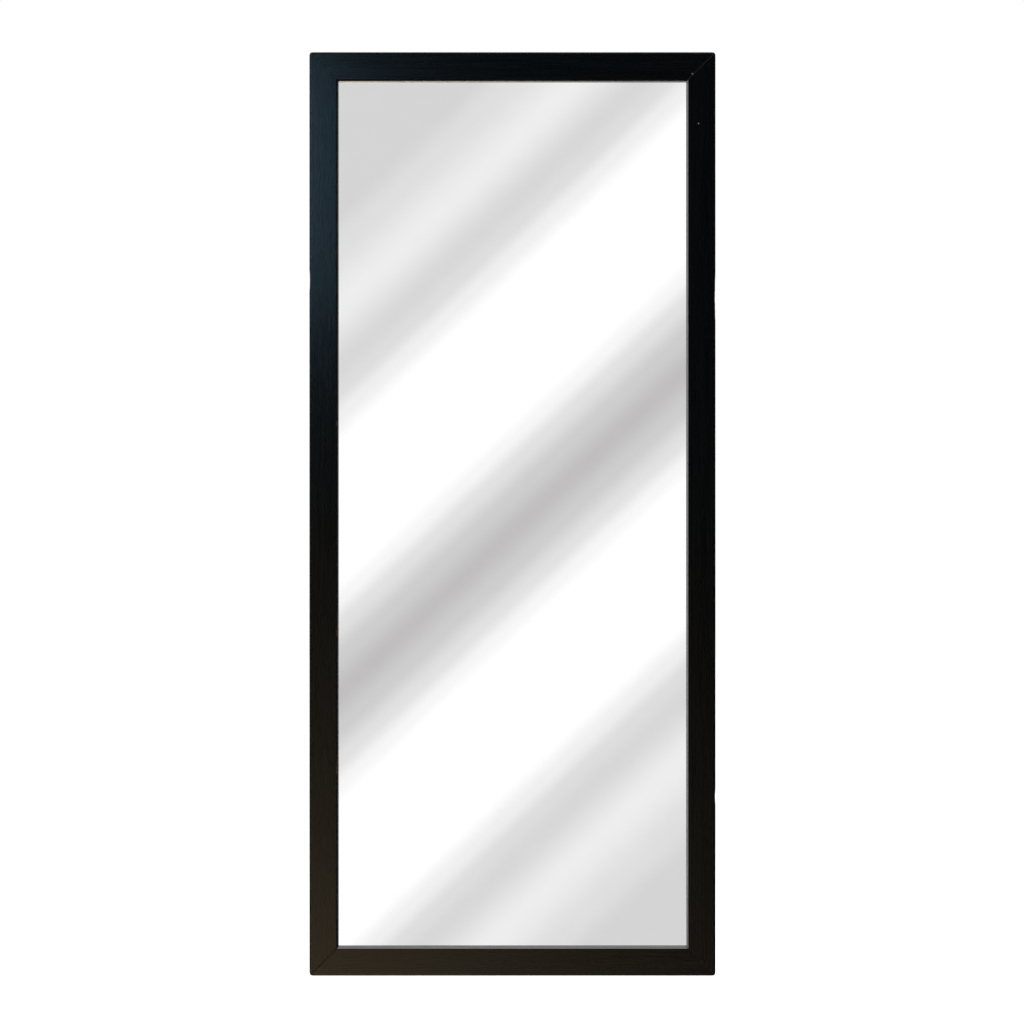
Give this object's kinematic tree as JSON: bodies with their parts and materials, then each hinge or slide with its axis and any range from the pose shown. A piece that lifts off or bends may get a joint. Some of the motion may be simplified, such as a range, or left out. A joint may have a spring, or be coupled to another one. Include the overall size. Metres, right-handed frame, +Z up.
{
  "type": "pull-out closet mirror",
  "caption": "Full-length mirror in a black mitred wooden frame on a sliding carriage that pulls out of a closet on two ball-bearing slides and swings out on a vertical pivot.",
  "frame": {"origin": "centre of the four panel-screw holes, on the face of the closet's side panel, with the mirror pushed in", "axes": "+X is the pull-out direction, -Y is where the glass faces when pushed in, +Y points into the side panel, +Z is up"},
  "size_m": [0.536, 0.048, 1.219],
  "materials": {
    "frame_wood": "black-stained wood under a satin lacquer",
    "mirror_glass": "silvered float glass",
    "backing_board": "plain brown hardboard",
    "zinc_steel": "roll-formed steel, bright zinc plated",
    "zinc_hardware": "zinc-plated bolts, nuts, pins, corner nails and glazing points",
    "ball_steel": "polished ball-bearing steel",
    "black_steel": "black powder-coated steel sheet",
    "nylon": "natural nylon",
    "grey_plastic": "moulded dark grey plastic",
    "rubber": "black rubber"
  },
  "bodies": {
    "panel_side": {"upper_outer_member": "zinc_steel", "lower_outer_member": "zinc_steel", "rear_buffers": "grey_plastic"},
    "outer_cages": {"upper_outer_cage": "zinc_steel", "lower_outer_cage": "zinc_steel", "outer_cage_balls": "ball_steel"},
    "middle_members": {"upper_middle_member": "zinc_steel", "lower_middle_member": "zinc_steel"},
    "inner_cages": {"upper_inner_cage": "zinc_steel", "lower_inner_cage": "zinc_steel", "inner_cage_balls": "ball_steel"},
    "carriage": {"upper_inner_member": "zinc_steel", "lower_inner_member": "zinc_steel", "carriage_post": "black_steel", "upper_pivot_bracket": "black_steel", "lower_pivot_bracket": "black_steel", "pivot_bushes": "nylon", "stop_pins": "zinc_hardware", "upper_rest_bracket": "black_steel", "lower_rest_bracket": "black_steel", "rest_bumpers": "rubber"},
    "mirror": {"backing_board": "backing_board", "bottom_rail": "frame_wood", "corner_nails": "zinc_hardware", "glazing_points": "zinc_hardware", "left_stile": "frame_wood", "lower_frame_bracket": "black_steel", "mirror_glass": "mirror_glass", "pivot_bolts": "zinc_hardware", "pivot_nuts": "zinc_hardware", "right_stile": "frame_wood", "thrust_washers": "nylon", "top_rail": "frame_wood", "upper_frame_bracket": "black_steel"}
  },
  "joints": [
    {"name": "carriage_slide", "type": "slide", "parent": "panel_side", "child": "carriage", "axis": [1, 0, 0], "range_m": [0, 0.45]},
    {"name": "middle_slide", "type": "slide", "parent": "panel_side", "child": "middle_members", "axis": [1, 0, 0], "range_m": [0, 0.225]},
    {"name": "outer_cage_slide", "type": "slide", "parent": "panel_side", "child": "outer_cages", "axis": [1, 0, 0], "range_m": [0, 0.1125]},
    {"name": "inner_cage_slide", "type": "slide", "parent": "panel_side", "child": "inner_cages", "axis": [1, 0, 0], "range_m": [0, 0.3375]},
    {"name": "mirror_swing", "type": "hinge", "parent": "carriage", "child": "mirror", "pos_m": [0.254, -0.016, 0], "axis": [0, 0, 1], "range_deg": [0, 90]}
  ],
  "couplings": [
    {"joint": "middle_slide", "follows": "carriage_slide", "ratio": 0.5},
    {"joint": "outer_cage_slide", "follows": "carriage_slide", "ratio": 0.25},
    {"joint": "inner_cage_slide", "follows": "carriage_slide", "ratio": 0.75}
  ]
}
